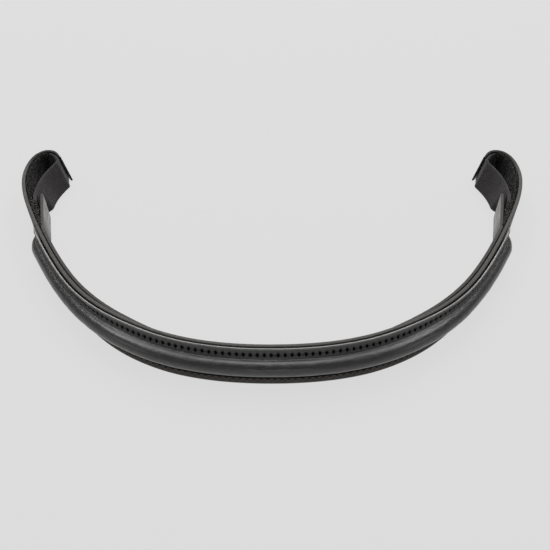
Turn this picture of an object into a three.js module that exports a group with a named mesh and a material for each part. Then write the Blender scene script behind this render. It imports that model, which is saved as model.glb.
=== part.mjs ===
// A bridle browband: a padded leather band, bent into a U and standing on its lower edge.
//
// The main strap runs the whole way. Over the brow it carries a lining leather on the inside and a thin cover
// leather on the outside, moulded over a round filler. Past the band it becomes the outer wall of a loop at
// each end, and folds over. A webbing flap swings from that fold, and hook-and-loop holds its tip against a
// leather tab, which peels back from the root of the loop.
//
// Millimetres. +X is to the right, +Y points from the brow to the loops, and +Z is up. The finished group is
// moved so that its origin is the bottom centre of its bounding box.

import * as THREE from "three";

// ---------------------------------------------------------------- driving dimensions

const HEIGHT = 16; // width of the leather, which stands on edge
const GAP = 0.25; // between layers that lie on each other

const STRAP = 2.3;
const LINING = 1.4; // also the closure tab's thickness
const COVER = 1.0;
const TAPE = 1.2; // pile tape inside each loop
const WEBBING = 1.5;
const PATCH = 0.7; // hook and pile patches of the closure
const THREAD = 0.5;

const COVER_INSET = 0.2; // the cover is cut this much narrower than the strap at each edge
const WEBBING_INSET = 0.5;
const PATCH_INSET = 1.6;
const ROLL_RADIUS = 4.1; // outside of the cover over the filler
const ROLL_CENTRE = -0.6; // height of the roll's middle, from the middle of the band
const ROLL_STEPS = 8; // facets round the roll
const ROLL_FADE = 5; // stations over which the roll dies out at each end
const ROLL_END = 0.3; // what is left of its height there
const UPPER_ROW = 5.7; // heights of the two rows of stitches
const LOWER_ROW = -6.3;

const BROW_LEAN = 16; // degrees by which the top edge leans in at the brow
const LEAN_HOLDS_TO = 55; // distance from the middle up to which that lean is full
const LEAN_ENDS_AT = 92; // and where the leather stands upright

const TAB_ROOT_GAP = 0.3;
const TAB_LENGTH = 30;
const FLAP_START = 1.0; // from the flap's hinge line to its free webbing
const PATCH_STATIONS = 3; // a patch covers the last two steps before a tip

// ---------------------------------------------------------------- plan of the left half

const at = (x, y) => new THREE.Vector2(x, y);
const cubic = (...points) => new THREE.CubicBezierCurve(...points);

// The seam is the inner face of the main strap. It starts at the middle of the brow.
const BROW = at(0, -66.4);
const ROOT = at(-113.4, 12.1); // where the band ends and the loop begins
const WALL_END = at(-130, 56.6);
const FOLD_TOP = at(-122.8, 71.8);
const FOLD_END = at(-116.2, 68.4);

const seamCurves = {
  band: cubic(BROW, at(-62, -66.4), at(-83, -41.9), ROOT),
  wall: cubic(ROOT, at(-120.8, 25.2), at(-130, 42.6), WALL_END),
  bend: cubic(WALL_END, at(-130, 64.6), at(-128.2, 71.8), FOLD_TOP),
  lip: cubic(FOLD_TOP, at(-120, 71.8), at(-118, 70.4), FOLD_END),
};
const seamSteps = { band: 40, wall: 10, bend: 7, lip: 5 };

// A station is a place on a plan curve: its point, the unit vector that points outward there, away from the
// space that the leather encloses, and the lean of the leather.
function station(point, outward) {
  const fade = THREE.MathUtils.smoothstep(
    Math.abs(point.x),
    LEAN_HOLDS_TO,
    LEAN_ENDS_AT,
  );
  const lean = THREE.MathUtils.degToRad(BROW_LEAN * (1 - fade));
  return { point, outward, lean };
}

// Stations along a curve, whose outward side is on the left of the way it runs.
function stationsAlong(curve, steps) {
  return Array.from({ length: steps + 1 }, (_, i) => {
    const tangent = curve.getTangent(i / steps);
    return station(curve.getPoint(i / steps), at(-tangent.y, tangent.x));
  });
}

const mirrored = ({ point, outward }) =>
  station(at(-point.x, point.y), at(-outward.x, outward.y));

const half = Object.entries(seamCurves).flatMap(([name, curve], i) =>
  stationsAlong(curve, seamSteps[name]).slice(i ? 1 : 0),
);
// The whole seam runs from the left fold, round the brow, to the right fold.
const seam = [...half.toReversed(), ...half.slice(1).map(mirrored)];

// Places on the left half, counted in steps from the middle of the brow.
const MIDDLE = half.length - 1;
const HINGE_OF_TAB = seamSteps.band - 1;
const COVER_STOP = seamSteps.band - 1;
const TAPE_START = seamSteps.band + 1;
const TAPE_STOP = seamSteps.band + seamSteps.wall + seamSteps.bend - 1;
const WEBBING_STOP = TAPE_STOP + 1;
const WEBBING_HINGE = half.length - 2;

// The stretch of the seam within so many steps of the brow, and the stretch of it in the left half only.
const across = (steps) => seam.slice(MIDDLE - steps, MIDDLE + steps + 1);
const leftStretch = (from, to) => seam.slice(MIDDLE - to, MIDDLE - from + 1);

// ---------------------------------------------------------------- bending and sections

// Extrudes a section straight, one step from station to station, and then bends it along them. The section's
// x is height above the middle of the leather, and its y is distance outward from the stations' curve.
function bent(section, stations, raise = (outward) => outward) {
  const steps = stations.length - 1;
  const settings = { depth: steps, steps, bevelEnabled: false };
  const geometry = new THREE.ExtrudeGeometry(section, settings);
  const position = geometry.getAttribute("position");
  for (let i = 0; i < position.count; i++) {
    const index = Math.round(position.getZ(i));
    const { point, outward, lean } = stations[index];
    const up = position.getX(i);
    const out = raise(position.getY(i), index, steps);
    const reach = out * Math.cos(lean) - up * Math.sin(lean);
    const lift = (HEIGHT / 2) * Math.cos(lean) + (LINING + GAP) * Math.sin(lean);
    position.setXYZ(
      i,
      point.x + outward.x * reach,
      point.y + outward.y * reach,
      out * Math.sin(lean) + up * Math.cos(lean) + lift,
    );
  }
  geometry.computeVertexNormals();
  return geometry;
}

// A flat layer, from one distance outward to another, inset at both edges.
function layer(from, to, inset = 0) {
  const edge = HEIGHT / 2 - inset;
  return new THREE.Shape([at(-edge, from), at(edge, from), at(edge, to), at(-edge, to)]);
}

// A small square section for a line of stitches, at one height.
function threadSection(height, from) {
  const side = THREAD / 2;
  const to = from + THREAD;
  return new THREE.Shape([
    at(height - side, from),
    at(height + side, from),
    at(height + side, to),
    at(height - side, to),
  ]);
}

// Half a circle over the front of the strap, from its low side to its high side.
function rollArc(radius, base) {
  return Array.from({ length: ROLL_STEPS + 1 }, (_, i) => {
    const angle = (Math.PI * i) / ROLL_STEPS;
    return at(
      ROLL_CENTRE - radius * Math.cos(angle),
      base + radius * Math.sin(angle),
    );
  });
}

const FRONT = STRAP + GAP; // the back of the cover
const FACE = FRONT + COVER; // the flat margins' surface

// ---------------------------------------------------------------- materials and meshes

const leather = (color, roughness) =>
  new THREE.MeshStandardMaterial({ color, roughness, metalness: 0 });
const cloth = (color) =>
  new THREE.MeshStandardMaterial({ color, roughness: 0.95, metalness: 0 });

function mesh(name, geometry, material) {
  const made = new THREE.Mesh(geometry, material);
  made.name = name;
  return made;
}

// ---------------------------------------------------------------- the band

function mainStrap() {
  return mesh("main_strap", bent(layer(0, STRAP), seam), leather(0x1d1d1d, 0.45));
}

function liningLeather() {
  const section = layer(-GAP - LINING, -GAP);
  return mesh("lining_leather", bent(section, across(HINGE_OF_TAB)), leather(0x171717, 0.7));
}

// The roll is full height along the band, and sinks towards each end of the cover.
function fadingRoll(out, index, steps) {
  if (out <= FACE) return out;
  const fromEnd = Math.min(index, steps - index);
  const share = THREE.MathUtils.smoothstep(fromEnd, 0, ROLL_FADE);
  return FACE + (out - FACE) * THREE.MathUtils.lerp(ROLL_END, 1, share);
}

function frontCover() {
  const edge = HEIGHT / 2 - COVER_INSET;
  const outside = [at(-edge, FACE), ...rollArc(ROLL_RADIUS, FACE), at(edge, FACE)];
  const inside = [
    at(edge, FRONT),
    ...rollArc(ROLL_RADIUS - COVER, FRONT).reverse(),
    at(-edge, FRONT),
  ];
  const section = new THREE.Shape([...outside, ...inside]);
  const cover = bent(section, across(COVER_STOP), fadingRoll);
  return mesh("front_cover", cover, leather(0x222222, 0.35));
}

function rollFiller() {
  const radius = ROLL_RADIUS - COVER - GAP;
  const section = new THREE.Shape(rollArc(radius, FRONT));
  const filler = bent(section, across(COVER_STOP - ROLL_FADE));
  return mesh("roll_filler", filler, cloth(0x6a6358));
}

function stitchRow(name, height) {
  const row = bent(threadSection(height, FACE + GAP / 2), across(COVER_STOP));
  return mesh(name, row, cloth(0x0c0c0c));
}

// ---------------------------------------------------------------- the left loop

// Everything here is built for the left loop. The right one is its mirror image.

const lip = seam[0];
const hingeOfFlap = at(
  lip.point.x - lip.outward.x * (GAP + WEBBING / 2),
  lip.point.y - lip.outward.y * (GAP + WEBBING / 2),
);

// From its hinge the flap falls back along the wall, and its tip turns in behind the tab.
const FLAP_TIP = at(-119.1, 28.2);
const FLAP_FALL = at(-0.2, -0.98);
const flapEnd = hingeOfFlap.clone().addScaledVector(FLAP_FALL, FLAP_START);
const flapCurve = cubic(FLAP_TIP, at(-124.6, 40.5), at(-119, 57.5), flapEnd);
const FLAP_STEPS = 10;
const flapStations = stationsAlong(flapCurve, FLAP_STEPS).map(({ point, outward }) =>
  station(point, outward.clone().negate()),
);

// The tab leaves the lining's inner face at its hinge and stands a little off the strap, which opens the V
// that takes the flap's tip.
const tabHinge = seam[MIDDLE - HINGE_OF_TAB];
const hingeOfTab = at(
  tabHinge.point.x - tabHinge.outward.x * (GAP + LINING),
  tabHinge.point.y - tabHinge.outward.y * (GAP + LINING),
);
const TAB_HEADING = THREE.MathUtils.degToRad(104.2);
const TAB_STEPS = 4;
const heading = at(Math.cos(TAB_HEADING), Math.sin(TAB_HEADING));
const tabRoot = hingeOfTab.clone().addScaledVector(heading, TAB_ROOT_GAP);
const tabTip = hingeOfTab.clone().addScaledVector(heading, TAB_LENGTH);
const tabCurve = new THREE.LineCurve(tabRoot, tabTip);
const tabStations = stationsAlong(tabCurve, TAB_STEPS).toReversed();

function loopTape() {
  const section = layer(-GAP - TAPE, -GAP, WEBBING_INSET);
  return bent(section, leftStretch(TAPE_START, TAPE_STOP));
}

function flapFixedEnd() {
  const section = layer(-GAP - WEBBING, -GAP, WEBBING_INSET);
  return bent(section, leftStretch(WEBBING_STOP, WEBBING_HINGE));
}

function flapWebbing() {
  return bent(layer(-WEBBING / 2, WEBBING / 2, WEBBING_INSET), flapStations);
}

function flapHookPatch() {
  const base = WEBBING / 2 + GAP;
  return bent(layer(base, base + PATCH, PATCH_INSET), flapStations.slice(0, PATCH_STATIONS));
}

function tabLeather() {
  return bent(layer(0, LINING), tabStations);
}

function tabPilePatch() {
  const base = LINING + GAP;
  return bent(layer(base, base + PATCH, PATCH_INSET), tabStations.slice(0, PATCH_STATIONS));
}

// A bar of close stitches that stands across the strap, outside its leather.
function barTack(from, to) {
  const section = layer(STRAP + GAP, STRAP + GAP + THREAD, PATCH_INSET);
  return bent(section, leftStretch(from, to));
}

function loop(side) {
  const pieces = [
    ["loop_tape", loopTape(), cloth(0x0b0b0b)],
    ["root_stitch", barTack(seamSteps.band, seamSteps.band + 1), cloth(0x0c0c0c)],
    ["fold_stitch", barTack(half.length - 3, half.length - 2), cloth(0x0c0c0c)],
    ["flap_fixed_end", flapFixedEnd(), cloth(0x141414)],
    ["flap_webbing", flapWebbing(), cloth(0x141414)],
    ["flap_hook_patch", flapHookPatch(), cloth(0x101010)],
    ["tab_leather", tabLeather(), leather(0x2a2a2a, 0.4)],
    ["tab_pile_patch", tabPilePatch(), cloth(0x0b0b0b)],
  ];
  const made = new THREE.Group();
  for (const [name, geometry, material] of pieces)
    made.add(mesh(`${side}_${name}`, geometry, material));
  return made;
}

// ---------------------------------------------------------------- assembly

const group = new THREE.Group();
group.add(
  mainStrap(),
  liningLeather(),
  frontCover(),
  rollFiller(),
  stitchRow("upper_stitches", UPPER_ROW),
  stitchRow("lower_stitches", LOWER_ROW),
);

const rightLoop = loop("right");
rightLoop.scale.x = -1;
group.add(loop("left"), rightLoop);

const box = new THREE.Box3().setFromObject(group, true);
const middle = box.getCenter(new THREE.Vector3());
group.position.set(-middle.x, -middle.y, -box.min.z);

export default group;
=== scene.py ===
import math

import bmesh
import bpy
import numpy as np
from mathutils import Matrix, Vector, noise


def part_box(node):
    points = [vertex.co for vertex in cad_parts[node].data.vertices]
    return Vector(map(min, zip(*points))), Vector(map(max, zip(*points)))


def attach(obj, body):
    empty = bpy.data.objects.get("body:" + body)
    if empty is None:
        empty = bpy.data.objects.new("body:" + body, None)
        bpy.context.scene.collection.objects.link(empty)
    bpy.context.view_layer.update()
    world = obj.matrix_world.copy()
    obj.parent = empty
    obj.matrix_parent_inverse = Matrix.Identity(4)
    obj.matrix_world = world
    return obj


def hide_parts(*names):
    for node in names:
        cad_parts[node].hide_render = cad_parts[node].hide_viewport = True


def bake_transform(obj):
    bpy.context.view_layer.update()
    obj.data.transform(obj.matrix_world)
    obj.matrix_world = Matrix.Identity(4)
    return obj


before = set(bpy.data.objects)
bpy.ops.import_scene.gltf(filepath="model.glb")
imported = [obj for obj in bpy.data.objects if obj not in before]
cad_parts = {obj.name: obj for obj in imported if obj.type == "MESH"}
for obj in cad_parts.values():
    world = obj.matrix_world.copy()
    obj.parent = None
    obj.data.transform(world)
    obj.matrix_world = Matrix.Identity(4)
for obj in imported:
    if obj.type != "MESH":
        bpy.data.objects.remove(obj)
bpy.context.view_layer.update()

# A bridle browband. Shapes are worked out in millimetres, in the frame's own axes, and every mesh is written
# in metres. Along the band, a distance counts from the middle of the brow: negative to the left, positive to
# the right. Across it, "up" is height from the middle of the leather, and "out" is distance outward from the
# seam, which is the inner face of the main strap.

MM = 0.001

# ---------------------------------------------------------------- sizes

HEIGHT = 16.0  # of the leather. The layers below are given by their thickness.
HALF = HEIGHT / 2
GAP = 0.25  # between two layers of leather
STRAP = 2.3
LINING = 1.4
COVER = 1.0
TAPE = 1.2
WEBBING = 1.5
PATCH = 0.7
COVER_INSET = 0.2  # how far the cover's edges stay inside the strap's
ROLL_RADIUS = 3.85
ROLL_CENTRE = 0.05  # the roll's height
UPPER_ROW = 5.7  # heights of the two rows of stitches
LOWER_ROW = -6.3
STITCH_PITCH = 2.75
THREAD = 0.62
FRONT = STRAP + GAP  # where the cover's back lies, and its face
FACE = FRONT + COVER

BROW_LEAN = math.radians(16)  # the band leans forward at the brow, and stands upright before the loops
LEAN_HOLDS_TO = 55
LEAN_ENDS_AT = 92

# ---------------------------------------------------------------- plan of the band

BROW = (0, -66.4)
ROOT = (-113.4, 12.1)
WALL_END = (-130, 56.6)
FOLD_TOP = (-122.8, 71.8)
FOLD_END = (-116.2, 68.4)
SEAM_CURVES = [
    (BROW, (-58.5, -66.4), (-83, -41.9), ROOT),
    (ROOT, (-120.8, 25.2), (-130, 42.6), WALL_END),
    (WALL_END, (-130, 64.6), (-128.2, 71.8), FOLD_TOP),
    (FOLD_TOP, (-120, 71.8), (-118, 70.4), FOLD_END),
    (FOLD_END, (-115.6, 67.73), (-114.9, 66.96), (-114.4, 66.4)),
]
# The plan is moved with the frame: the fold's rearmost leather is where the CAD strap's is.
SHIFT = np.array([0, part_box("main_strap")[1].y / MM - FOLD_TOP[1] - STRAP])


def bezier(points, t):
    """Points and unit directions of a cubic Bezier curve at the values t."""
    a, b, c, d = (np.array(p, float) for p in points)
    t = np.asarray(t, float)[:, None]
    s = 1 - t
    place = s**3 * a + 3 * s * s * t * b + 3 * s * t * t * c + t**3 * d
    way = s * s * (b - a) + 2 * s * t * (c - b) + t * t * (d - c)
    return place, way / np.linalg.norm(way, axis=1)[:, None]


def turned(way):
    """The direction a quarter turn to the left of each direction."""
    return np.stack([-way[:, 1], way[:, 0]], axis=1)


CURVE_STEPS = 400


def fine_curve(curves):
    """Distances, points and outward directions, closely spaced along joined curves."""
    t = np.linspace(0, 1, CURVE_STEPS + 1)
    parts = [bezier(c, t[(1 if i else 0):]) for i, c in enumerate(curves)]
    place = np.concatenate([p for p, _ in parts])
    out = turned(np.concatenate([w for _, w in parts]))
    step = np.linalg.norm(np.diff(place, axis=0), axis=1)
    return np.concatenate([[0], np.cumsum(step)]), place + SHIFT, out


SEAM = fine_curve(SEAM_CURVES)
# The distances at which the band, the loop's wall, its bend, the fold and the fold's lip end
BAND_LENGTH, WALL_LENGTH, BEND_LENGTH, _, LIP_LENGTH = SEAM[0][CURVE_STEPS::CURVE_STEPS]
TAB_HINGE_AT = SEAM[0][CURVE_STEPS * 39 // 40]  # the CAD's last station but one of forty


def smoothstep(x, low, high):
    """0 below low, 1 above high, and a smooth step between them."""
    t = np.clip((np.asarray(x, float) - low) / (high - low), 0, 1)
    return t * t * (3 - 2 * t)


def seam_at(distance):
    """Point, outward direction and lean of the seam at each distance along it."""
    d = np.abs(np.asarray(distance, float))
    side = np.where(np.asarray(distance) < 0, 1.0, -1.0)[:, None]
    fine, place, out = SEAM
    p = np.stack([np.interp(d, fine, place[:, k]) for k in (0, 1)], axis=1)
    o = np.stack([np.interp(d, fine, out[:, k]) for k in (0, 1)], axis=1)
    o /= np.linalg.norm(o, axis=1)[:, None]
    mirror = np.concatenate([side, np.ones_like(side)], axis=1)
    lean = BROW_LEAN * (1 - smoothstep(np.abs(p[:, 0]), LEAN_HOLDS_TO, LEAN_ENDS_AT))
    return p * mirror, o * mirror, lean


def stand(place, out_way, lean, up, out):
    """Where up and out lead from each place on a plan curve, in millimetres. All arrays broadcast."""
    reach = out * np.cos(lean) - up * np.sin(lean)
    lift = HALF * np.cos(lean) + (LINING + GAP) * np.sin(lean)
    x = place[..., 0] + out_way[..., 0] * reach
    y = place[..., 1] + out_way[..., 1] * reach
    z = out * np.sin(lean) + up * np.cos(lean) + lift
    return np.stack(np.broadcast_arrays(x, y, z), axis=-1)


def on_seam(distance, up, out):
    """Grid of points: one row for each distance, one column for each place in the section."""
    place, way, lean = seam_at(distance)
    return stand(place[:, None], way[:, None], lean[:, None], np.asarray(up), np.asarray(out))


# ---------------------------------------------------------------- meshes


def new_object(name, data):
    piece = bpy.data.objects.new(name, data)
    bpy.context.scene.collection.objects.link(piece)
    return piece


def make_mesh(name, points, faces, materials, face_material=None, uv=None, sharp=40):
    """A mesh object from points in millimetres. sharp is the angle above which an edge isn't smoothed."""
    mesh = bpy.data.meshes.new(name)
    mesh.from_pydata((np.asarray(points) * MM).tolist(), [], faces)
    for m in materials:
        mesh.materials.append(m)
    if face_material is not None:
        mesh.polygons.foreach_set("material_index", face_material)
    if uv is not None:
        layer = mesh.uv_layers.new(name="UVMap")
        corner = np.empty(len(mesh.loops), np.int32)
        mesh.loops.foreach_get("vertex_index", corner)
        layer.data.foreach_set("uv", np.asarray(uv, np.float32)[corner].ravel())
    mesh.validate()
    work = bmesh.new()
    work.from_mesh(mesh)
    bmesh.ops.recalc_face_normals(work, faces=work.faces)
    work.to_mesh(mesh)
    work.free()
    mesh.shade_smooth()
    mesh.set_sharp_from_angle(angle=math.radians(sharp))
    return new_object(name, mesh)


def ring_faces(rows, columns):
    """Quads of a tube: rows of rings, each closed on itself, with a cap at both ends."""
    i = np.arange(rows - 1)[:, None] * columns
    j = np.arange(columns)[None, :]
    k = (j + 1) % columns
    quads = np.stack([i + j, i + k, i + columns + k, i + columns + j], axis=-1).reshape(-1, 4)
    last = (rows - 1) * columns
    return quads.tolist() + [list(range(columns))[::-1], list(range(last, last + columns))]


def tube(name, grid, materials, columns=None, along=None, sharp=40):
    """A closed mesh from a grid of rings. columns gives each column's material, or each face's, and along
    gives each row's distance."""
    rows, count = grid.shape[:2]
    picks = None
    if columns is not None:
        picks = np.broadcast_to(columns, (rows - 1, count)).ravel()
        picks = np.concatenate([picks, [1, 1]]).astype(np.int32)
    uv = None
    if along is not None:
        ring = np.linalg.norm(np.diff(grid[rows // 2], axis=0), axis=1)
        around = np.concatenate([[0], np.cumsum(ring)])
        uv = np.stack(np.broadcast_arrays(np.asarray(along)[:, None], around[None]), axis=-1)
        uv = uv.reshape(-1, 2) * MM
    faces = ring_faces(rows, count)
    return make_mesh(name, grid.reshape(-1, 3), faces, materials, picks, uv, sharp)


def tubes(name, grids, material, sharp=40):
    """One mesh from many grids of rings, each of which stays a separate closed body inside it."""
    points, faces, base = [], [], 0
    for grid in grids:
        points.append(grid.reshape(-1, 3))
        faces.extend([[n + base for n in face] for face in ring_faces(*grid.shape[:2])])
        base += len(points[-1])
    return make_mesh(name, np.concatenate(points), faces, [material], sharp=sharp)


def quarter(centre, radius, start, turn=-90, steps=4):
    """Points round a corner of a section, from the angle start. An angle of 0 points up, and 90 outward."""
    angles = np.radians(start + turn * np.linspace(0, 1, steps + 1))
    return [(centre[0] + radius * math.cos(a), centre[1] + radius * math.sin(a)) for a in angles]


def flat_section(low, high, half, corner, ups, groove=None):
    """Section of a flat strip from out=low to out=high, as (up, out) points, and 1 for its cut-edge
    columns. ups are the heights of its points on each face, and groove gives how deep the outer face is
    at a height."""
    ups = np.array(sorted(u for u in ups if abs(u) < half - corner - 0.05))
    outer = [(u, high - (groove(u) if groove else 0)) for u in ups[::-1]]
    bottom = quarter((corner - half, high - corner), corner, 90, 90)
    bottom += quarter((corner - half, low + corner), corner, 180, 90)
    inner = [(u, low) for u in ups]
    top = quarter((half - corner, low + corner), corner, 270, 90)
    top += quarter((half - corner, high - corner), corner, 0, 90)
    edge = [0] * len(outer) + [1] * len(bottom) + [0] * len(inner) + [1] * len(top)
    return np.array(outer + bottom + inner + top), np.array(edge)


def evenly(low, high, spacing):
    """Numbers from low to high at equal spacing, about the one given."""
    return np.linspace(low, high, max(2, round(abs(high - low) / spacing) + 1))


def noise_at(points, scale, seed=0.0):
    """Smooth noise from -1 to 1 at points in millimetres. scale is cycles in a millimetre."""
    flat = np.asarray(points).reshape(-1, 3)
    shift = Vector((seed, seed * 0.7, -seed))
    values = [noise.noise(Vector(p) * scale + shift) for p in flat]
    return np.array(values).reshape(np.asarray(points).shape[:-1])


def mirrored(points, side):
    """Points of a left-hand piece, or their mirror image for the right-hand one."""
    return np.asarray(points) * np.array([1 if side == "left" else -1, 1, 1])


# ---------------------------------------------------------------- materials


class Nodes:
    """A material's node tree, with a Principled shader, and short ways to add to it."""

    def __init__(self, name):
        self.material = bpy.data.materials.new(name)
        self.material.use_nodes = True
        self.tree = self.material.node_tree
        self.shader = self.tree.nodes["Principled BSDF"]
        self.place = self.add("ShaderNodeTexCoord").outputs["Object"]
        self.uv = self.add("ShaderNodeTexCoord").outputs["UV"]

    def add(self, kind, inputs=None, **settings):
        """A new node. Each input is a number or colour, or another node's output."""
        node = self.tree.nodes.new(kind)
        for key, value in settings.items():
            setattr(node, key, value)
        for key, value in (inputs or {}).items():
            if isinstance(value, bpy.types.NodeSocket):
                self.tree.links.new(value, node.inputs[key])
            else:
                node.inputs[key].default_value = value
        return node

    def set(self, **values):
        """Sets the shader's inputs, whose names are written with _ for a space."""
        for key, value in values.items():
            socket = self.shader.inputs[key.replace("_", " ")]
            if isinstance(value, bpy.types.NodeSocket):
                self.tree.links.new(value, socket)
            else:
                socket.default_value = value

    def noise(self, size, detail=3, rough=0.55, vector=None):
        """Noise from 0 to 1 whose blotches are about size millimetres across."""
        inputs = {
            "Vector": vector or self.place,
            "Scale": 1 / (size * MM),
            "Detail": detail,
            "Roughness": rough,
        }
        return self.add("ShaderNodeTexNoise", inputs).outputs["Fac"]

    def cells(self, size):
        """Distance from the nearest border of cells about size millimetres across."""
        inputs = {"Vector": self.place, "Scale": 1 / (size * MM)}
        return self.add("ShaderNodeTexVoronoi", inputs, feature="DISTANCE_TO_EDGE").outputs["Distance"]

    def ramp(self, value, stops):
        """Maps a value through (place, colour) stops."""
        node = self.add("ShaderNodeValToRGB", {"Fac": value})
        elements = node.color_ramp.elements
        while len(elements) < len(stops):
            elements.new(0.5)
        for element, (place, colour) in zip(elements, stops):
            element.position = place
            element.color = (*colour, 1) if hasattr(colour, "__len__") else (colour,) * 3 + (1,)
        return node.outputs["Color"]

    def math(self, operation, a, b):
        return self.add("ShaderNodeMath", {0: a, 1: b}, operation=operation).outputs[0]

    def along_seam(self, start, end):
        """0 to 1 between two distances along a piece, in millimetres."""
        along = self.add("ShaderNodeSeparateXYZ", {"Vector": self.uv}).outputs["X"]
        distance = self.math("ABSOLUTE", along, 0.0)
        inputs = {"Value": distance, "From Min": start * MM, "From Max": end * MM}
        return self.add("ShaderNodeMapRange", inputs).outputs[0]

    def mixed(self, share, colour, other):
        """A colour that gives way to another, plain one."""
        blend = self.add("ShaderNodeMix", {"Factor": share}, data_type="RGBA")
        self.tree.links.new(colour, blend.inputs[6])
        blend.inputs[7].default_value = (*other, 1)
        return blend.outputs[2]

    def span(self, value, low, high):
        """Maps 0 to 1 onto low to high."""
        return self.add("ShaderNodeMapRange", {"Value": value, "To Min": low, "To Max": high}).outputs[0]

    def bump(self, heights):
        """Bumps from (height, depth in millimetres) pairs, one after another."""
        normal = None
        for height, depth in heights:
            inputs = {"Height": height, "Distance": depth * MM, "Strength": 1.0}
            if normal is not None:
                inputs["Normal"] = normal
            normal = self.add("ShaderNodeBump", inputs).outputs["Normal"]
        self.set(Normal=normal)


def grain(nodes, size):
    """Height of leather's grain: rounded cells with narrow valleys between them."""
    warp = nodes.noise(size * 3, 2)
    valleys = nodes.ramp(nodes.cells(size), [(0.0, 0.0), (0.16, 0.75), (0.5, 1.0)])
    return nodes.math("ADD", valleys, nodes.span(warp, 0, 0.6))


def leather_bumps(nodes, grain_size, grain_depth):
    """Leather's soft unevenness, with its grain on top."""
    nodes.bump([(nodes.noise(2.2, 3), 0.05), (grain(nodes, grain_size), grain_depth)])


def leather(name, dark, light, roughness, grain_size, grain_depth, specular=0.5, coat=0.0):
    """Black leather: its colour and gloss vary softly, and its surface has a fine grain."""
    nodes = Nodes(name)
    blotches = nodes.noise(6, 4)
    specks = nodes.noise(0.5, 3, 0.6)
    both = nodes.math("MULTIPLY", nodes.math("ADD", blotches, specks), 0.5)
    nodes.set(
        Base_Color=nodes.ramp(both, [(0.35, dark), (0.7, light)]),
        Roughness=nodes.span(specks, roughness - 0.07, roughness + 0.10),
        Specular_IOR_Level=specular,
        Coat_Weight=coat,
        Coat_Roughness=0.2,
    )
    leather_bumps(nodes, grain_size, grain_depth)
    return nodes.material


def sheen_streaked_leather(name, dark, light, pale, roughness, grain_size, grain_depth, reach):
    """Leather with pale streaks of painted sheen drawn out along it. They fade in between two distances, in
    millimetres.
    """
    nodes = Nodes(name)
    tones = nodes.math("ADD", nodes.noise(6, 4), nodes.noise(0.5, 3, 0.6))
    both = nodes.math("MULTIPLY", tones, 0.5)
    plain = nodes.ramp(both, [(0.35, dark), (0.7, light)])
    stretch = {"Vector": nodes.uv, "Scale": (0.12, 1, 1)}
    drawn_out = nodes.add("ShaderNodeMapping", stretch).outputs[0]
    sheen_noise = nodes.noise(1.1, 3, 0.6, vector=drawn_out)
    sheen_streaks = nodes.ramp(sheen_noise, [(0.38, 0.12), (0.62, 1.0)])
    # Painted sheen: pale streaks stand in for the light that the face catches.
    painted_sheen = nodes.math("MULTIPLY", sheen_streaks, nodes.along_seam(*reach))
    nodes.set(
        Base_Color=nodes.mixed(painted_sheen, plain, pale),
        Roughness=nodes.span(both, roughness - 0.07, roughness + 0.10),
    )
    leather_bumps(nodes, grain_size, grain_depth)
    return nodes.material


def cut_edge(name, dark, light, roughness, blotch, black_span=None, specular=0.3):
    """The edge of cut leather, with its fibres burnished flat in blotches. Where black_span gives two
    distances along the seam, in millimetres, the edge is coloured black between them."""
    nodes = Nodes(name)
    fibres = nodes.noise(blotch, 5, 0.7)
    fine = nodes.noise(blotch / 4, 3, 0.6)
    both = nodes.math("MULTIPLY", nodes.math("ADD", fibres, fine), 0.5)
    colour = nodes.ramp(both, [(0.36, dark), (0.66, light)])
    if black_span:
        colour = nodes.mixed(nodes.along_seam(*black_span), colour, (0.012, 0.011, 0.010))
    nodes.set(
        Base_Color=colour,
        Roughness=nodes.span(fibres, roughness - 0.08, roughness + 0.12),
        Specular_IOR_Level=specular,
    )
    nodes.bump([(fibres, 0.08), (fine, 0.05)])
    return nodes.material


def fabric(name, dark, light, sheen, depth, size):
    """Yarn or brushed fibre seen from close by. size is its fuzz's, in millimetres."""
    nodes = Nodes(name)
    fuzz = nodes.noise(size, 4, 0.7)
    patches = nodes.noise(3.5, 3)
    both = nodes.math("MULTIPLY", nodes.math("ADD", fuzz, patches), 0.5)
    nodes.set(
        Base_Color=nodes.ramp(both, [(0.35, dark), (0.68, light)]),
        Roughness=nodes.span(fuzz, 0.8, 1.0),
        Sheen_Weight=sheen,
        Sheen_Roughness=0.45,
        Sheen_Tint=(0.55, 0.55, 0.57, 1),
        Specular_IOR_Level=0.25,
    )
    nodes.bump([(fuzz, depth)])
    return nodes.material


COVER_LEATHER = leather(
    "cover_leather", (0.010,) * 3, (0.022, 0.021, 0.021), 0.29, 0.55, 0.042, specular=0.6, coat=0.3
)
# Painted shade: near-black matte leather put in the stitch holes and the crevice under the roll, where shade
# falls.
PAINTED_SHADE_LEATHER = leather("painted_shade_leather", (0.002,) * 3, (0.005,) * 3, 0.85, 0.5, 0.03, specular=0.05)
STRAP_LEATHER = leather("strap_leather", (0.011,) * 3, (0.024, 0.023, 0.023), 0.40, 0.6, 0.03)
LINING_LEATHER = leather("lining_leather", (0.012,) * 3, (0.030, 0.028, 0.026), 0.46, 0.8, 0.03)
TAB_SHEEN_FADE = (7, 17)  # the distances along the tab over which its painted sheen fades in
# The tab's inner face carries a painted sheen: pale streaks for the light it catches.
TAB_LEATHER = sheen_streaked_leather(
    "tab_leather", (0.012,) * 3, (0.030, 0.028, 0.026), (0.30, 0.296, 0.28), 0.44, 0.8, 0.03, TAB_SHEEN_FADE
)
# The cover's lower margin: brown leather, painted lighter for the light that the floor throws up onto it.
MARGIN_PAINTED_LIGHT = leather("margin_painted_light", (0.026, 0.020, 0.016), (0.056, 0.045, 0.036), 0.5, 0.6, 0.04)
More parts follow.
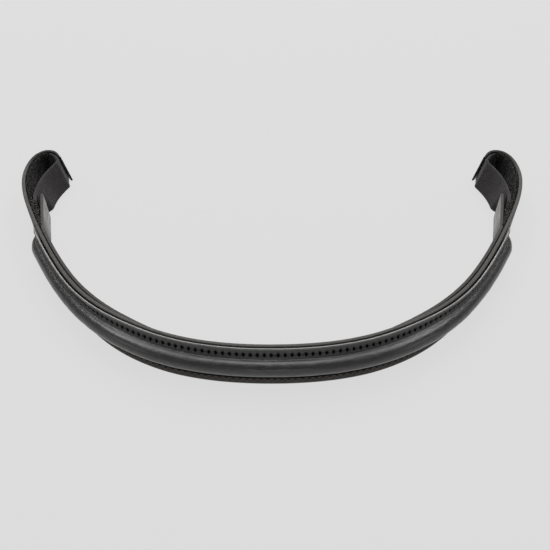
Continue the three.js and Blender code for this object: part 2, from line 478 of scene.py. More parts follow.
# The strap's edge is coloured black over the fold.
FOLD_BLACK_SPAN = (WALL_LENGTH - 2, WALL_LENGTH + 9)
STRAP_EDGE = cut_edge(
    "strap_edge", (0.022, 0.021, 0.020), (0.075, 0.073, 0.069), 0.62, 0.9, black_span=FOLD_BLACK_SPAN, specular=0.15
)
# Painted highlight: the cover's rounded edges are coloured grey, far lighter than its black face, for the
# bright line of light they catch.
COVER_EDGE_HIGHLIGHT = cut_edge("cover_edge_painted_highlight", (0.05,) * 3, (0.13, 0.128, 0.122), 0.34, 1.4, specular=0.7)
LINING_EDGE = cut_edge("lining_edge", (0.008,) * 3, (0.060, 0.057, 0.052), 0.65, 0.45, specular=0.2)
THREAD_WAXED = leather("waxed_thread", (0.010,) * 3, (0.030,) * 3, 0.36, 0.25, 0.03, specular=0.6)
WEBBING_YARN = fabric("webbing_yarn", (0.009, 0.0075, 0.0078), (0.024, 0.021, 0.0215), 0.3, 0.06, 0.25)
PILE_FIBRE = fabric("pile_fibre", (0.004,) * 3, (0.014, 0.013, 0.012), 0.25, 0.12, 0.4)
PILE_PALE = fabric("pile_pale", (0.05, 0.045, 0.040), (0.17, 0.155, 0.14), 0.3, 0.1, 0.4)
HOOK_PLASTIC = fabric("hook_plastic", (0.006,) * 3, (0.014,) * 3, 0.0, 0.02, 0.5)
FILLER_FELT = fabric("filler_felt", (0.16, 0.14, 0.12), (0.32, 0.29, 0.25), 0.2, 0.15, 0.5)


# ---------------------------------------------------------------- the band's layers

BROW_RISE = 1.5  # how much higher than at the ends the strap's upper edge stands at the brow
COVER_RISE = 1.15  # the same for the cover
COVER_DROP = 0.6  # how much lower the cover's lower edge is at the brow
BROW_DROP = 1.5  # how much lower the lining's upper edge is
RISE_FADES = (48, 92)  # how far from the middle a rise fades out
DROP_FADES = (36, 64)  # and a drop
LIP_REACH = 1.7  # how much farther the fold's end reaches at its top than at its foot
LIP_LEAN = 2.6  # and how far its top leans into the loop
STRAP_FACE = STRAP - 0.38  # the strap's outer face, which leaves a dark line under the cover's edge
CREASE_AT = 6.6  # a pressed line near both edges of the loops' leather
CREASE_DEPTH = 0.22
CREASE_WIDTH = 0.2
LINING_CORNER = 0.25
LINING_STOP = TAB_HINGE_AT - 5  # beyond this the lining is free to peel, as the tab


def face_ups(corner, spacing):
    """Heights of the points across a strip's face, between its rounded corners."""
    return evenly(corner - HALF + 0.1, HALF - corner - 0.1, spacing)


def at_brow(distances, fades):
    """1 along the middle of the brow, fading to 0 between two distances to the side."""
    return 1 - smoothstep(np.abs(seam_at(distances)[0][:, 0]), *fades)


def lip_shift(distances, ups):
    """How far the strap's points move in plan near the fold's end, which slants and leans into the loop."""
    near_end = smoothstep(np.abs(distances), BEND_LENGTH - 2, LIP_LENGTH)
    share = near_end[:, None] * np.atleast_2d(ups) / HEIGHT
    outward = seam_at(distances)[1]
    onward = turned(outward) * np.where(distances < 0, 1, -1)[:, None]
    return share[..., None] * (LIP_REACH * onward - LIP_LEAN * outward)[:, None]


def strap_thinness(distances):
    """The strap's share of its full thickness, because its end is skived thin."""
    return 1 - 0.45 * smoothstep(np.abs(distances), BEND_LENGTH, LIP_LENGTH)


def swept(name, distances, section, edges, materials, uneven, seed, rise, thin=1.0):
    """A flat layer along the seam, whose cut edges wander a little. rise is how much higher its upper
    edge is at each distance, and thin its share of full thickness."""
    thin = np.ones(len(distances)) * thin
    grid = on_seam(distances, section[:, 0], section[None, :, 1] * thin[:, None])
    for column in np.flatnonzero(edges):
        grid[:, column, 2] += uneven * noise_at(grid[:, column], 0.8, seed)
    wander = 0.06 * noise_at(grid[:, 0], 0.05, seed + 9) + rise
    grid[:, :, 2] += wander[:, None] * np.maximum(section[None, :, 0], 0) / HALF
    grid[:, :, :2] += lip_shift(distances, section[:, 0])
    return tube(name, grid, materials, edges, distances)


def settle(piece, body, slot, *nodes):
    """Rides on a body, and stands for these CAD nodes, which it hides. slot is not used."""
    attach(piece, body)
    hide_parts(*nodes)


def pressed_line(up):
    """How deep the strap's face is pressed in at a height."""
    return CREASE_DEPTH * math.exp(-(((abs(up) - CREASE_AT) / CREASE_WIDTH) ** 2))


def main_strap():
    """The strap that runs through the band, round both loops and over both folds."""
    corner = 0.45
    near_line = [s * (CREASE_AT + k * 0.13) for s in (1, -1) for k in range(-4, 5)]
    ups = [*face_ups(corner, 0.8), *near_line]
    section, edges = flat_section(0.12, STRAP_FACE, HALF, corner, ups, pressed_line)
    rows = evenly(-LIP_LENGTH, LIP_LENGTH, 0.5)
    materials = [STRAP_LEATHER, STRAP_EDGE]
    rise = BROW_RISE * at_brow(rows, RISE_FADES)
    piece = swept("strap", rows, section, edges, materials, 0.06, 3.1, rise, strap_thinness(rows))
    settle(piece, "band", "strap_leather", "main_strap")


def lining():
    """The leather on the brow side of the strap, as far as it is sewn down."""
    section, edges = flat_section(-GAP - LINING, -GAP, HALF, LINING_CORNER, face_ups(LINING_CORNER, 0.8))
    rows = evenly(-LINING_STOP, LINING_STOP, 0.5)
    materials = [LINING_LEATHER, LINING_EDGE]
    rise = -BROW_DROP * at_brow(rows, DROP_FADES)
    piece = swept("lining", rows, section, edges, materials, 0.14, 5.7, rise)
    settle(piece, "band", "lining_leather", "lining_leather")


COVER_END = TAB_HINGE_AT + 2.5  # the cover stops here, at both ends
COVER_HALF = HALF - COVER_INSET
COVER_CORNER = 0.46
COVER_BACK = STRAP_FACE + 0.06  # where the back of its thinned ends lies
THINNEST = 0.35  # the share of its thickness that is left at its ends
ROLL_FADE = 9.0  # the roll rises over this length from each end
ROLL_LEAST = 0.25  # and starts with this share of its height
TROUGH_DEPTH, TROUGH_WIDTH = 0.15, 0.85  # the pressed line that a row of stitches lies in
HOLE_DEPTH, HOLE_LENGTH, HOLE_WIDTH = 0.80, 0.53, 0.62
LOWER_HOLES = 0.36  # the lower row's holes are pulled nearly shut
CREVICE_FROM = 4.75  # painted shade covers the crevice under the roll from here down
MARGIN_FROM = 5.55  # and from here down, the margin is brown, painted lighter for the floor's light thrown up onto it
HOLE_SHADE = 0.46  # painted shade, near-black and matte, fills a hole where it is deeper than this
STITCHES = 2 * int((COVER_END - 3) / STITCH_PITCH)
HOLES = (np.arange(STITCHES + 1) - STITCHES / 2) * STITCH_PITCH


def resampled(points, spacing):
    """An open outline with points at equal spacing."""
    points = np.array(points, float)
    along = np.concatenate([[0], np.cumsum(np.linalg.norm(np.diff(points, axis=0), axis=1))])
    places = evenly(0, along[-1], spacing)
    return np.stack([np.interp(places, along, points[:, k]) for k in (0, 1)], axis=1)


def softened(points, times):
    """An open outline with its corners rounded by averaging neighbours. Its ends stay."""
    points = points.copy()
    for _ in range(times):
        points[1:-1] = (points[:-2] + 2 * points[1:-1] + points[2:]) / 4
    return points


def roll_outline(radius, base, margin, spacing, times):
    """The outline of a margin, the roll and a margin, from the top down, softened so many times."""
    angles = np.radians(np.linspace(0, 180, 40))
    arc = [(ROLL_CENTRE + radius * math.cos(a), base + radius * math.sin(a)) for a in angles]
    ends = (margin, base), (-margin, base)
    raw = resampled([ends[0], *arc, ends[1]], 0.1)
    return resampled(softened(raw, times), spacing)


def cover_rows():
    """Distances along the cover, close together at the stitch holes."""
    half = [0, 0.18, 0.36, 0.5, 0.64, 0.8, 1.15]
    near = np.array([*half, 1.6, *[STITCH_PITCH - d for d in half[5:0:-1]]])
    inner = (HOLES[:-1, None] + near[None, :]).ravel()
    tail = evenly(HOLES[-1], COVER_END, 0.4)
    return np.concatenate([-tail[::-1][:-1], inner, tail])


def cover_section():
    """Section of the cover: its face, lower edge, back and upper edge, each as (up, out) points."""
    corner, half = COVER_CORNER, COVER_HALF
    margin = half - corner - 0.02
    face = roll_outline(ROLL_RADIUS, FACE, margin, 0.27, 45)
    back = roll_outline(ROLL_RADIUS - COVER, FRONT, margin, 0.9, 3)[::-1]
    lower = quarter((corner - half, FACE - corner), corner, 90, 90)
    lower += quarter((corner - half, FRONT + corner), corner, 180, 90)
    upper = quarter((half - corner, FRONT + corner), corner, 270, 90)
    upper += quarter((half - corner, FACE - corner), corner, 0, 90)
    return face, lower, back, upper


def cover_sink(face, rows, on_roll):
    """How deep the troughs and stitch holes press the cover's face in."""
    sink = np.zeros((len(rows), len(face)))
    nearest = np.abs(rows[:, None] - HOLES[None, :]).min(axis=1)
    for row, share_open in ((UPPER_ROW, 1.0), (LOWER_ROW, LOWER_HOLES)):
        away = np.abs(face[None, :, 0] - row)
        sink += TROUGH_DEPTH * np.exp(-((away / TROUGH_WIDTH) ** 2))
        place_in_hole = (away / HOLE_WIDTH) ** 2 + (nearest[:, None] / HOLE_LENGTH) ** 2
        sink += share_open * HOLE_DEPTH * np.exp(-(place_in_hole**1.5))
    return sink * (1 - on_roll)


def cover_picks(section, sink, rows):
    """Which material each face of the cover has: leather, edge, painted shade, or margin with painted light.
    """
    face, lower, back, upper = section
    picks = np.repeat([0, 1, 0, 1], [len(face), len(lower), len(back), len(upper)])
    picks = np.tile(picks, (len(rows) - 1, 1))
    below = np.broadcast_to(-face[:, 0], (len(rows) - 1, len(face)))
    # Painted shade goes on the deep parts of the holes and on the crevice under the roll.
    pierced = (sink[1:] + sink[:-1]) / 2 > HOLE_SHADE
    crevice = (below > CREVICE_FROM) & (below <= MARGIN_FROM)
    on_face = np.where(below > MARGIN_FROM, 3, 0)
    picks[:, :len(face)] = np.where(pierced | crevice, 2, on_face)
    return picks


def front_cover():
    """The cover leather, moulded over the roll, with its stitch holes."""
    section = cover_section()
    face, lower, back, _ = section
    count = len(face)
    way = np.gradient(face, axis=0)
    way /= np.linalg.norm(way, axis=1)[:, None]
    normal = np.stack([way[:, 1], -way[:, 0]], axis=1)  # outward from the face's outline, which runs down

    rows = cover_rows()
    from_end = COVER_END - np.abs(rows)
    share = ROLL_LEAST + (1 - ROLL_LEAST) * smoothstep(from_end, -1, ROLL_FADE) ** 0.8
    outline = np.concatenate(section)
    up = np.repeat(outline[None, :, 0], len(rows), axis=0)
    out = np.repeat(outline[None, :, 1], len(rows), axis=0)
    out[:, :count] = FACE + (out[:, :count] - FACE) * share[:, None]
    behind = slice(count + len(lower), count + len(lower) + len(back))
    out[:, behind] = FRONT + (out[:, behind] - FRONT) * share[:, None]

    place = on_seam(rows, face[:, 0], face[:, 1])
    on_roll = smoothstep(face[:, 1], FACE + 0.2, FACE + 1.6)[None, :]
    wrinkle = 0.05 * noise_at(place, 0.55, 1.3) + 0.10 * noise_at(place, 0.16, 4.4)
    sink = cover_sink(face, rows, on_roll)
    rise = wrinkle * (0.25 + 0.75 * on_roll) - sink
    up[:, :count] += normal[None, :, 0] * rise
    out[:, :count] += normal[None, :, 1] * rise

    thin = THINNEST + (1 - THINNEST) * smoothstep(from_end, -1, 4.5)[:, None]
    out = COVER_BACK + (out - COVER_BACK) * thin
    raised = COVER_RISE * at_brow(rows, RISE_FADES)[:, None] * smoothstep(up, UPPER_ROW, COVER_HALF)
    lowered = COVER_DROP * at_brow(rows, DROP_FADES)[:, None] * smoothstep(-up, -LOWER_ROW, COVER_HALF)
    up += raised - lowered

    place, way, lean = seam_at(rows)
    grid = stand(place[:, None], way[:, None], lean[:, None], up, out)
    materials = [COVER_LEATHER, COVER_EDGE_HIGHLIGHT, PAINTED_SHADE_LEATHER, MARGIN_PAINTED_LIGHT]
    piece = tube("cover", grid, materials, cover_picks(section, sink, rows), rows)
    settle(piece, "band", "cover_leather", "front_cover")


STITCH_STEPS = np.linspace(0, 1, 9)  # along one stitch
STITCH_ARCH = np.sin(math.pi * STITCH_STEPS) ** 0.55  # 0 in its holes and 1 in its middle
THREAD_RING = np.linspace(0, 2 * math.pi, 8, endpoint=False)


def seam_stitches(starts, row, base, side):
    """Tubes for the stitches of one row, from hole to hole, on a face at out=base. side is 1 outside and
    -1 inside."""
    u, arch, ring = STITCH_STEPS, STITCH_ARCH, THREAD_RING
    radius = THREAD / 2 * (0.6 + 0.4 * arch)
    depth = side * (-0.60 + 0.66 * arch)
    along = (starts[:, None] + 0.46 + u[None, :] * (STITCH_PITCH - 0.92)).ravel()
    slant = 0.16 * (u - 0.5) * 2
    up = row + slant[:, None] + radius[:, None] * np.cos(ring)[None, :]
    out = base + depth[:, None] + radius[:, None] * np.sin(ring)[None, :]
    count = len(starts)
    place, way, lean = seam_at(along)
    up = np.tile(up, (count, 1))
    out = np.tile(out, (count, 1))
    grid = stand(place[:, None], way[:, None], lean[:, None], up, out)
    return grid.reshape(count, len(u), len(ring), 3)


def stitch_rows():
    """Both rows of the band's stitches, on the cover and on the lining's back."""
    for name, row in (("upper_stitches", UPPER_ROW), ("lower_stitches", LOWER_ROW)):
        front = seam_stitches(HOLES[:-1], row, FACE - TROUGH_DEPTH * 0.75, 1)
        inside = HOLES[:-1][np.abs(HOLES[:-1] + STITCH_PITCH / 2) < LINING_STOP - 2]
        back = seam_stitches(inside, row, -GAP - LINING, -1)
        piece = tubes(name + "_thread", np.concatenate([front, back]), THREAD_WAXED, 60)
        settle(piece, "band", "thread", name)


def roll_filler():
    """The felt core that fills the roll. It tapers away at both ends."""
    radius = ROLL_RADIUS - COVER - 0.12
    angles = np.radians(np.linspace(0, 180, 13))
    arc = [(ROLL_CENTRE + radius * math.cos(a), radius * math.sin(a)) for a in angles]
    base = [(ROLL_CENTRE - radius * s, 0.0) for s in np.linspace(0.7, -0.7, 5)]
    section = np.array(arc + base)
    reach = COVER_END - 14
    rows = evenly(-reach, reach, 1.2)
    taper = 0.35 + 0.65 * smoothstep(reach - np.abs(rows), -2, 14)
    lumps = 1 + 0.015 * noise_at(on_seam(rows, section[:, 0], section[:, 1]), 0.4, 7.7)
    out = FRONT + 0.06 + section[None, :, 1] * taper[:, None] * lumps
    up = ROLL_CENTRE + (section[None, :, 0] - ROLL_CENTRE) * lumps
    piece = tube("filler", on_seam(rows, up, out), [FILLER_FELT], None, rows)
    settle(piece, "band", "filler", "roll_filler")


main_strap()
lining()
front_cover()
roll_filler()
stitch_rows()


# ---------------------------------------------------------------- the loops

PLAN_STEP = 0.3


def plan_path(points, spacing, times):
    """Places, outward directions and distances along a softened plan line."""
    places = softened(resampled(points, spacing), times)
    way = np.gradient(places, axis=0)
    way /= np.linalg.norm(way, axis=1)[:, None]
    step = np.linalg.norm(np.diff(places, axis=0), axis=1)
    return places, turned(way), np.concatenate([[0], np.cumsum(step)])


def seam_offset(low, high, out):
    """Plan points of the left half, at a distance out from the seam."""
    place, way, _ = seam_at(-evenly(low, high, PLAN_STEP))
    return place + way * out


def beside(place, way, up, out):
    """Points that stand upright beside a plan path. place and way have a row for each step along it."""
    return stand(place[:, None], way[:, None], 0.0, np.asarray(up), np.asarray(out))


def near_tip(path, length):
    """Places and outward directions on the last stretch of a plan path, but for its very tip."""
    place, way, along = path
    near = along > along[-1] - length
    return place[near][:-1], way[near][:-1]


def bend_between(piece, body, side, path, start, end):
    """Bakes the piece's transform into its mesh. body, side, path, start and end are not used."""
    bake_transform(piece)


class Fibres:
    """Short curved fibres, each a closed three-sided spike."""

    def __init__(self, seed):
        self.dice = np.random.RandomState(seed)
        self.parts = []
        self.tones = []

    def grow(self, bases, normals, length, radius, spread, pale=0.0):
        """A fibre on each base point. spread is how far its tip strays, as a share of its length, and pale is
        the share of fibres that are pale."""
        count = len(bases)
        length = length * (0.5 + self.dice.rand(count, 1))
        tilt = self.dice.randn(count, 3) * spread
        curl = self.dice.randn(count, 3) * spread
        way = normals + tilt
        way /= np.linalg.norm(way, axis=1)[:, None]
        middle = bases + way * length * 0.55
        bend = way + curl
        bend /= np.linalg.norm(bend, axis=1)[:, None]
        tip = middle + bend * length * 0.55
        across = np.cross(way, self.dice.randn(count, 3))
        across /= np.linalg.norm(across, axis=1)[:, None]
        other = np.cross(way, across)
        rings = []
        for centre, size in ((bases - way * 0.15, radius), (middle, radius * 0.8)):
            for angle in (0, 2.1, 4.2):
                rings.append(centre + size * (math.cos(angle) * across + math.sin(angle) * other))
        self.parts.append(np.stack([*rings, tip], axis=1).reshape(-1, 3))
        self.tones.extend((self.dice.rand(count) < pale).astype(int).tolist())

    def mesh(self, name, side, grid):
        """A piece of the fibres and the ground that they grow on, which is a grid of rings."""
        ground = grid.reshape(-1, 3)
        one = [(2, 1, 0), (0, 1, 4, 3), (1, 2, 5, 4), (2, 0, 3, 5), (3, 4, 6), (4, 5, 6), (5, 3, 6)]
        faces = ring_faces(*grid.shape[:2])
        picks = [0] * len(faces)
        for k, tone in enumerate(self.tones):
            faces.extend([[v + len(ground) + 7 * k for v in face] for face in one])
            picks.extend([tone] * len(one))
        points = mirrored(np.concatenate([ground, *self.parts]), side)
        return make_mesh(side + name, points, faces, [PILE_FIBRE, PILE_PALE], picks)


def scatter(dice, grid, count, facing):
    """Random points on the quads of a grid, and their normals, on the side that plan directions face."""
    i = dice.randint(0, grid.shape[0] - 1, count)
    j = dice.randint(0, grid.shape[1] - 1, count)
    a, b, c = grid[i, j], grid[i + 1, j], grid[i, j + 1]
    u, v = dice.rand(count, 1), dice.rand(count, 1)
    normal = np.cross(b - a, c - a)
    normal /= np.linalg.norm(normal, axis=1)[:, None]
    normal *= np.sign(normal @ [*facing.mean(axis=0), 0.0])[:, None]
    return a + u * (b - a) + v * (c - a), normal


UPRIGHT = np.array([0.0, 0.0, 1.0])
TAPE_HALF = 7.5
TAPE_START = BAND_LENGTH + 1.6  # it begins in the root of the V, and ends past the back of the fold
TAPE_END = BEND_LENGTH - 1.0
TUFT_REACH = 16  # the tuft in the root of the V ends this far along the tape
TUFT_OPENS = 0.17  # how fast it thickens, as the tab parts from the wall
TUFT_WIDEST = 2.6


def grow_pile(fibres, pile, way):
    """The fibres on the face of the pile."""
    points, normals = scatter(fibres.dice, pile, 3000, -way)
    fibres.grow(points, normals, 0.8, 0.10, 0.8, 0.05)


def grow_rim(fibres, rim, way):
    """The fibres that stand up along the tape's upper edge."""
    count = 1300
    pick = fibres.dice.randint(0, len(rim), count)
    mix = fibres.dice.rand(count, 1)
    points = rim[pick] + np.concatenate([way[pick] * mix * TAPE, np.full((count, 1), 0.1)], axis=1)
    fibres.grow(points, np.tile(UPRIGHT, (count, 1)), 0.5, 0.12, 0.9, 0.12)


def grow_tuft(fibres):
    """The tuft that fills the root of the V, up to the tab's tip."""
    count = 2000
    reach = TAB_HINGE_AT + 1 + (TAPE_START + TUFT_REACH - TAB_HINGE_AT) * fibres.dice.rand(count)
    place, way, _ = seam_at(-reach)
    opening = np.clip((reach - TAB_HINGE_AT) * TUFT_OPENS, 0, TUFT_WIDEST)
    height = 7.9 - 3.5 * fibres.dice.rand(count) ** 2
    points = stand(place, way, 0.0, height, -GAP - 0.1 - opening * fibres.dice.rand(count))
    fibres.grow(points, np.tile([0.3, 0.0, 0.95], (count, 1)), 0.8, 0.17, 0.9, 0.4)


def loop_tape(side):
    """The loop half of the hook-and-loop tape: a lumpy brushed pile, on the inside of the loop's wall."""
    rows = evenly(TAPE_START, TAPE_END, 0.5)
    thick = TAPE * (0.35 + 0.65 * smoothstep(rows, TAPE_START, TAPE_START + 6))
    ups = evenly(-TAPE_HALF, TAPE_HALF, 0.6)
    place, way, _ = seam_at(-rows)
    pile = beside(place, way, ups, -GAP - thick[:, None] * np.ones_like(ups))
    lumps = 0.22 * noise_at(pile, 0.7, 2.0) + 0.12 * noise_at(pile, 1.6, 6.0)
    pile[:, :, :2] += way[:, None, :] * lumps[:, :, None]
    back = beside(place, way, ups[::-1], np.full(len(ups), -GAP + 0.1))
    back[:, [0, -1], 2] += [-0.25, 0.25]
    grid = np.concatenate([pile, back], axis=1)
    fibres = Fibres(11)
    grow_pile(fibres, pile, way)
    grow_rim(fibres, pile[:, -1], way)
    grow_tuft(fibres)
    piece = fibres.mesh("_pile_tape", side, grid)
    settle(piece, "band", "pile_tape", side + "_loop_tape")


FLAP_TIP = (-119.1, 28.2)
FLAP_CURVE = (FLAP_TIP, (-124.6, 40.5), (-119, 57.5))
FLAP_HALF = 7.5
FLAP_STEP = 0.28
FLAP_BENDS = (6.0, 9.5)  # the distances along it for a bend over to its own body, which bend_between doesn't make
FLAP_SAG = 4.8  # how far the flap's lower edge hangs inward from under its upper edge
TIP_CUT = 0.15  # how much narrower the flap gets toward its tip, whose corners are clipped
RIB_PITCH = 1.25
RIB_DEPTH = 0.2
YARN_PITCH = 0.85
HOOKS_LENGTH = 7.6  # the patch of hooks, from the tip
HOOKS_HALF = 6.2
HOOK_SHAFT = 0.22
HOOK_BEND = 0.10  # the radius of a hook's bend
HOOK_TURN = 4.0  # how far it bends round, in radians
HOOK_UP, HOOK_OUT, HOOK_ALONG = 0.06, 0.03, 0.05  # half its thickness each way


def flap_plan():
    """Plan path of the webbing's middle: sewn inside the fold's end, then down to the tip."""
    inside = -(GAP + WEBBING / 2)
    sewn = seam_offset(BEND_LENGTH + 0.5, LIP_LENGTH - 0.6, inside)
    ending = sewn[-1] + np.array([-0.2, -0.98])
    curve = [np.array(p) + SHIFT for p in FLAP_CURVE]
    falling, _ = bezier([*curve, ending], np.linspace(1, 0, 60))
    return plan_path(np.concatenate([sewn, falling]), FLAP_STEP, 14)


def ribs(up, along):
    """Height of the webbing's weave: ribs along it, crossed by fine yarns that step from rib to rib."""
    rib = np.cos(2 * math.pi * up / RIB_PITCH)
    step = np.floor(up / RIB_PITCH) * 0.5
    yarn = np.cos(2 * math.pi * (along / YARN_PITCH + step))
    return RIB_DEPTH / 2 * (rib - 1) + 0.035 * yarn


def flap_section():
    """Section of the webbing, whose edges are turned: (up, out) points round its middle."""
    half = WEBBING / 2
    turn = half * 0.8
    upper = quarter((FLAP_HALF - turn, 0), turn, -90, 180, 6)
    lower = quarter((turn - FLAP_HALF, 0), turn, 90, 180, 6)
    ups = evenly(-FLAP_HALF + 0.35, FLAP_HALF - 0.35, RIB_PITCH / 6)
    ups = ups[np.abs(ups) < FLAP_HALF - turn - 0.05]
    inner = [(u, half) for u in ups[::-1]]
    outer = [(u, -half) for u in ups]
    return np.array(inner + lower + outer + upper)


def flap(side):
    """A strap of ribbed webbing, from the fold's end to the tip."""
    path = flap_plan()
    place, way, along = path
    section = flap_section()
    up = np.tile(section[:, 0], (len(along), 1))
    out = np.tile(section[:, 1], (len(along), 1))
    out += np.sign(out) * (np.abs(section[:, 1]) > WEBBING / 2 - 0.01) * ribs(up, along[:, None])
    lip_at = LIP_LENGTH - BEND_LENGTH - 1.1
    leaves = smoothstep(along, lip_at - 1.5, lip_at + 4)
    held = smoothstep(place[:, 1], 33.0, 42.0)  # its tip is held flat against the tab
    sag = FLAP_SAG * leaves * held
    wave = 0.25 * np.sin(along / 5.5)
    out += (sag[:, None] * (FLAP_HALF - up) / (2 * FLAP_HALF)) + (wave * leaves * held)[:, None]
    out -= (LIP_LEAN * smoothstep(along, -2, lip_at) * (1 - leaves))[:, None] * up / HEIGHT
    up *= 1 - TIP_CUT * smoothstep(along - along[-1], -3, 0.3)[:, None]
    grid = beside(place, way, up, out)
    piece = tube(side + "_webbing", mirrored(grid, side), [WEBBING_YARN], None, along, 60)
    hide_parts(side + "_flap_fixed_end", side + "_flap_webbing")
    bend_between(piece, side + "_flap", side, path, *FLAP_BENDS)


def hook(place, way, height, face, sign):
    """One bent hook of the tape, as rings of points. It bends up where sign is 1, and down where it is -1."""
    angle = np.linspace(0, HOOK_TURN, 6)[1:]
    ring = np.linspace(0, 2 * math.pi, 5, endpoint=False)
    lift = np.concatenate([[0.0, HOOK_SHAFT], HOOK_SHAFT + HOOK_BEND * np.sin(angle)])
    drift = np.concatenate([[0.0, 0.0], HOOK_BEND * (1 - np.cos(angle))])
    up = height + sign * drift[:, None] + HOOK_UP * np.cos(ring)[None]
    out = face - HOOK_OUT + lift[:, None] + HOOK_OUT * np.sin(ring)[None]
    grid = stand(place[None, None], way[None, None], 0.0, up, out)
    grid[:, :, 1] += HOOK_ALONG * np.sin(ring)[None]
    return grid


def hook_patch(side):
    """The hook half of the tape, near the flap's tip: a thin backing with rows of tiny bent hooks."""
    place, way = near_tip(flap_plan(), HOOKS_LENGTH)
    base, face = WEBBING / 2 + 0.02, WEBBING / 2 + 0.25
    section, _ = flat_section(base, face, HOOKS_HALF, 0.08, evenly(-HOOKS_HALF, HOOKS_HALF, 0.8))
    grids = [beside(place, way, section[:, 0], section[:, 1])]
    for i in np.arange(1, len(place) - 1, 3):
        for k, height in enumerate(evenly(0.3 - HOOKS_HALF, HOOKS_HALF - 0.3, 0.9)):
            grids.append(hook(place[i], way[i], height, face, 1 if (i // 3 + k) % 2 else -1))
    piece = tubes(side + "_hooks", [mirrored(g, side) for g in grids], HOOK_PLASTIC)
    settle(piece, side + "_flap", "hook_tape", side + "_flap_hook_patch")


TAB_HEADING = math.radians(104.9)
TAB_LENGTH = 26.8
TAB_STEP = 0.35
TAB_BENDS = (3.4, 7.0)  # the distances along it for a bend over to its own body, which bend_between doesn't make
TAB_PILE_LENGTH = 13.0  # the patch of pile, from the tip
TAB_PILE_HALF = 6.4


def tab_plan():
    """Plan path of the tab's inner face: along the lining, then straight to the tip."""
    along_band = seam_offset(LINING_STOP, TAB_HINGE_AT, -GAP - LINING)
    way = np.array([math.cos(TAB_HEADING), math.sin(TAB_HEADING)])
    straight = along_band[-1] + way * np.linspace(0.2, TAB_LENGTH, 60)[:, None]
    return plan_path(np.concatenate([along_band, straight]), TAB_STEP, 8)


def tab(side):
    """The lining's free end. It peels off the band, and carries a patch of pile."""
    path = tab_plan()
    place, way, along = path
    section, edges = flat_section(0, LINING, HALF, LINING_CORNER, face_ups(LINING_CORNER, 0.6))
    up = np.tile(section[:, 0], (len(along), 1))
    out = np.tile(section[:, 1], (len(along), 1))
    up *= 1 - 0.03 * smoothstep(along - along[-1], -2.0, 0)[:, None]
    grid = beside(place, way, up, out)
    grid[:, :, 2] += 0.10 * noise_at(grid, 0.8, 8.2) * edges[None, :]
    wander = noise_at(grid[:, 0], 0.06, 3.3)[:, None] * 0.12
    grid[:, :, 2] += wander * np.maximum(up, 0) / HEIGHT
    piece = tube(side + "_lining_tab", mirrored(grid, side), [TAB_LEATHER, LINING_EDGE], edges, along)
    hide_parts(side + "_tab_leather")
    bend_between(piece, side + "_tab", side, path, *TAB_BENDS)


def pile_patch(side):
    """The patch of pile on the tab's outer face, where the flap's hooks hold."""
    place, way = near_tip(tab_plan(), TAB_PILE_LENGTH)
    face = LINING + PATCH - 0.15
    ups = evenly(-TAB_PILE_HALF, TAB_PILE_HALF, 0.7)
    section, _ = flat_section(LINING + 0.02, face, TAB_PILE_HALF, 0.12, ups)
    grid = beside(place, way, section[:, 0], section[:, 1])
    lumps = 0.08 * noise_at(grid, 1.3, 4.0) * (section[None, :, 1] > face - 0.1)
    grid[:, :, :2] += way[:, None] * lumps[..., None]
    fibres = Fibres(23)
    columns = np.flatnonzero(section[:, 1] >= face - 0.01)
    outer = grid[:, columns[0]:columns[-1] + 1]
    points, normals = scatter(fibres.dice, outer, 900, way)
    fibres.grow(points, normals, 0.22, 0.05, 0.7)
    rim = np.argmax(section[:, 0])
    count = 160
    pick = fibres.dice.randint(0, len(grid), count)
    fibres.grow(grid[pick, rim], np.tile(UPRIGHT, (count, 1)), 0.5, 0.06, 0.6)
    piece = fibres.mesh("_tab_pile", side, grid)
    settle(piece, side + "_tab", "pile_tape", side + "_tab_pile_patch")


def upright_stitches(name, side, distance, node):
    """A row of stitches up the strap's outer face, at one distance along it."""
    count, half = 5, 6.4
    length = 2 * half / count
    u, arch, ring = STITCH_STEPS, STITCH_ARCH, THREAD_RING
    radius = (THREAD / 2 * (0.72 + 0.28 * arch))[:, None]
    place, way, _ = seam_at(np.array([-distance]))
    along = turned(way)
    base = STRAP_FACE * strap_thinness(distance)
    grids = []
    for k in range(count):
        up = length * (k + 0.05 + 0.9 * u)[:, None] - half + 0 * ring[None]
        out = base + (-0.40 + 0.50 * arch)[:, None] + radius * np.sin(ring)[None]
        grid = beside(place, way, up.ravel(), out.ravel())
        grid[:, :, :2] += lip_shift(np.array([-distance]), up.ravel())
        grid = grid.reshape(len(u), len(ring), 3)
        grid[:, :, :2] += along[0] * (radius * np.cos(ring)[None])[..., None]
        grids.append(mirrored(grid, side))
    piece = tubes(name, grids, THREAD_WAXED, 60)
    settle(piece, "band", "thread", node)


for side in ("left", "right"):
    loop_tape(side)
    flap(side)
    hook_patch(side)
    tab(side)
    pile_patch(side)
    upright_stitches(side + "_root_thread", side, BAND_LENGTH + 1.2, side + "_root_stitch")
    upright_stitches(side + "_fold_thread", side, BEND_LENGTH + 3.4, side + "_fold_stitch")

# ---------------------------------------------------------------- floor, lights and camera


def floor():
    """A plain pale floor, which gives off most of its own light so that no hard shadow falls on it."""
    mesh = bpy.data.meshes.new("floor")
    reach = 4.0
    corners = [(-reach, -reach, 0), (reach, -reach, 0), (reach, reach, 0), (-reach, reach, 0)]
    mesh.from_pydata(corners, [], [(0, 1, 2, 3)])
    piece = new_object("floor", mesh)
    nodes = Nodes("floor")
    nodes.set(
        Base_Color=(0.03, 0.03, 0.03, 1),
        Roughness=1.0,
        Specular_IOR_Level=0.0,
        Emission_Color=(1, 1, 1, 1),
        Emission_Strength=0.67,
    )
    mesh.materials.append(nodes.material)
    piece.location.z = -0.0002


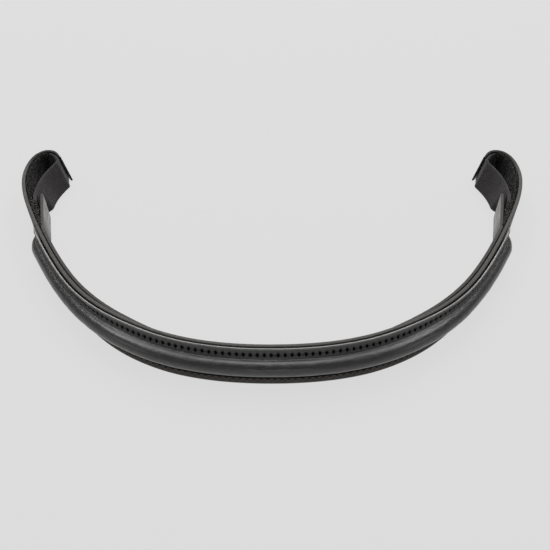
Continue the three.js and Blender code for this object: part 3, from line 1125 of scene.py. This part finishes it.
WORLD_STRENGTH = 0.138
SOFTBOX_AWAY, SOFTBOX_SIZE = 1.2, 0.4
SOFTBOXES = [  # name, azimuth from the back, elevation, watts
    ("back_softbox", 0, 64, 1.9),
    ("top_softbox", 0, 84, 2.4),
    ("front_softbox", 180, 15, 0.8),
    ("left_back_softbox", -20, 40, 6.0),
    ("right_back_softbox", 20, 40, 6.0),
    ("left_upper_softbox", -25, 50, 3.2),
    ("right_upper_softbox", 25, 50, 3.2),
    ("left_high_softbox", -50, 66, 0.8),
    ("right_high_softbox", 50, 66, 0.8),
    ("left_side_softbox", -75, 55, 3.4),
    ("right_side_softbox", 75, 55, 3.4),
    ("left_front_softbox", -120, 20, 0.9),
    ("right_front_softbox", 120, 20, 0.9),
]


def softbox(name, azimuth, elevation, power):
    """A square lamp that faces the middle of the object."""
    light = bpy.data.lights.new(name, "AREA")
    light.shape = "SQUARE"
    light.size = SOFTBOX_SIZE
    light.energy = power
    piece = new_object(name, light)
    a, e = math.radians(azimuth), math.radians(elevation)
    way = Vector((math.sin(a) * math.cos(e), math.cos(a) * math.cos(e), math.sin(e)))
    piece.location = way * SOFTBOX_AWAY
    piece.rotation_euler = (-way).to_track_quat("-Z", "Y").to_euler()


def studio():
    """Softboxes all round, and a plain white world."""
    world = bpy.data.worlds.new("studio")
    world.use_nodes = True
    background = world.node_tree.nodes["Background"]
    background.inputs["Color"].default_value = (1, 1, 1, 1)
    background.inputs["Strength"].default_value = WORLD_STRENGTH
    bpy.context.scene.world = world
    for name, azimuth, elevation, power in SOFTBOXES:
        softbox(name, azimuth, elevation, power)
    bpy.context.scene.view_settings.view_transform = "Standard"


CAMERA_AT = (0.0015, -0.2250, 0.2168)
CAMERA_TILT = math.radians(45)  # up from straight down
CAMERA_LENS = 41.9


def camera():
    """The photo's viewpoint, in front of the brow."""
    lens = bpy.data.cameras.new("camera")
    lens.lens = CAMERA_LENS
    piece = new_object("camera", lens)
    piece.location = CAMERA_AT
    piece.rotation_euler = (CAMERA_TILT, 0, 0)
    bpy.context.scene.camera = piece


floor()
studio()
camera()
